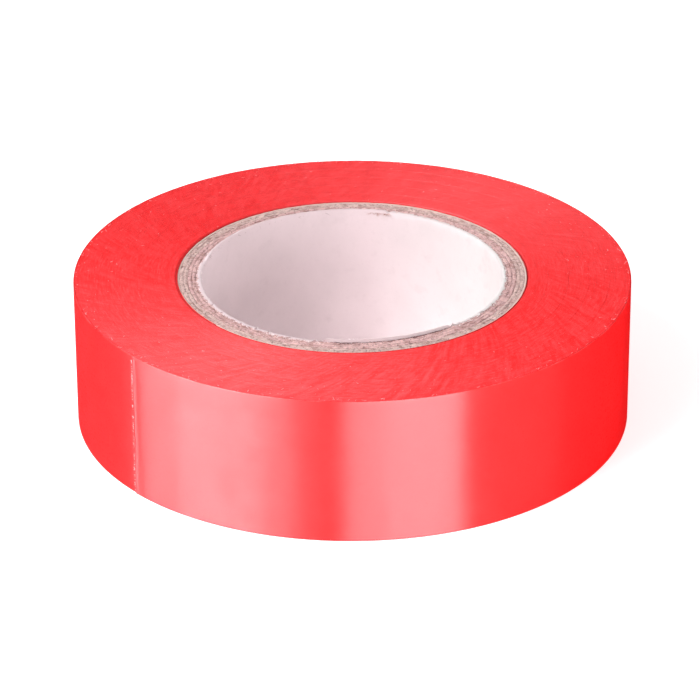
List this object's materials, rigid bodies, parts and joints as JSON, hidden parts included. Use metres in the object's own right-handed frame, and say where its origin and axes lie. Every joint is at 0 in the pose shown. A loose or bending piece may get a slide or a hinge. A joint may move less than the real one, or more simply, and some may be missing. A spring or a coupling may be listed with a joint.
{
  "type": "electrical tape roll",
  "caption": "Flat roll of red vinyl insulating tape wound on a paper tube, with a loose end that peels off the side.",
  "frame": {"origin": "on the winding axis, in the plane of the lower tape edges that the roll rests on", "axes": "+Z along the winding axis, up from the resting side; +X and +Y in the resting plane; the free end of the tape is at 220.7 degrees from +X towards +Y"},
  "size_m": [0.0707, 0.0707, 0.019],
  "materials": {
    "tape_film": "glossy red vinyl film with a soft sheen",
    "tape_adhesive": "tacky clear rubber adhesive over the red film",
    "core_liner": "smooth matt white paper",
    "core_board": "matt fibrous grey-beige board, cut edge",
    "core_cover": "matt cream paper"
  },
  "bodies": {
    "roll": {"core_liner": "core_liner", "core_ply_1": "core_board", "core_ply_2": "core_board", "core_ply_3": "core_board", "core_ply_4": "core_board", "core_ply_5": "core_board", "core_cover": "core_cover", "tape_turns_001_020": "tape_film", "tape_turns_021_040": "tape_film", "tape_turns_041_060": "tape_film", "tape_turns_061_080": "tape_film", "tape_turns_081_100": "tape_film", "last_turn_film": "tape_film", "last_turn_adhesive": "tape_adhesive"},
    "tail_1": {"tail_film_1": "tape_film", "tail_adhesive_1": "tape_adhesive"},
    "tail_2": {"tail_film_2": "tape_film", "tail_adhesive_2": "tape_adhesive"},
    "tail_3": {"tail_film_3": "tape_film", "tail_adhesive_3": "tape_adhesive"},
    "tail_4": {"tail_film_4": "tape_film", "tail_adhesive_4": "tape_adhesive"},
    "tail_5": {"tail_film_5": "tape_film", "tail_adhesive_5": "tape_adhesive"},
    "tail_6": {"tail_film_6": "tape_film", "tail_adhesive_6": "tape_adhesive"}
  },
  "joints": [
    {"name": "tail_peel", "type": "hinge", "parent": "roll", "child": "tail_1", "pos_m": [0.00657, -0.03477, 0.0095], "axis": [0, 0, 1], "range_deg": [0, 120]},
    {"name": "tail_bend_2", "type": "hinge", "parent": "tail_1", "child": "tail_2", "pos_m": [0.00043, -0.03539, 0.0095], "axis": [0, 0, 1], "range_deg": [0, 8.02]},
    {"name": "tail_bend_3", "type": "hinge", "parent": "tail_2", "child": "tail_3", "pos_m": [-0.00572, -0.03493, 0.0095], "axis": [0, 0, 1], "range_deg": [0, 8.02]},
    {"name": "tail_bend_4", "type": "hinge", "parent": "tail_3", "child": "tail_4", "pos_m": [-0.0117, -0.03341, 0.0095], "axis": [0, 0, 1], "range_deg": [0, 8.02]},
    {"name": "tail_bend_5", "type": "hinge", "parent": "tail_4", "child": "tail_5", "pos_m": [-0.01733, -0.03087, 0.0095], "axis": [0, 0, 1], "range_deg": [0, 8.02]},
    {"name": "tail_bend_6", "type": "hinge", "parent": "tail_5", "child": "tail_6", "pos_m": [-0.02243, -0.0274, 0.0095], "axis": [0, 0, 1], "range_deg": [0, 8.02]}
  ],
  "couplings": [
    {"joint": "tail_bend_2", "follows": "tail_peel", "ratio": 0.066667},
    {"joint": "tail_bend_3", "follows": "tail_peel", "ratio": 0.066667},
    {"joint": "tail_bend_4", "follows": "tail_peel", "ratio": 0.066667},
    {"joint": "tail_bend_5", "follows": "tail_peel", "ratio": 0.066667},
    {"joint": "tail_bend_6", "follows": "tail_peel", "ratio": 0.066667}
  ]
}
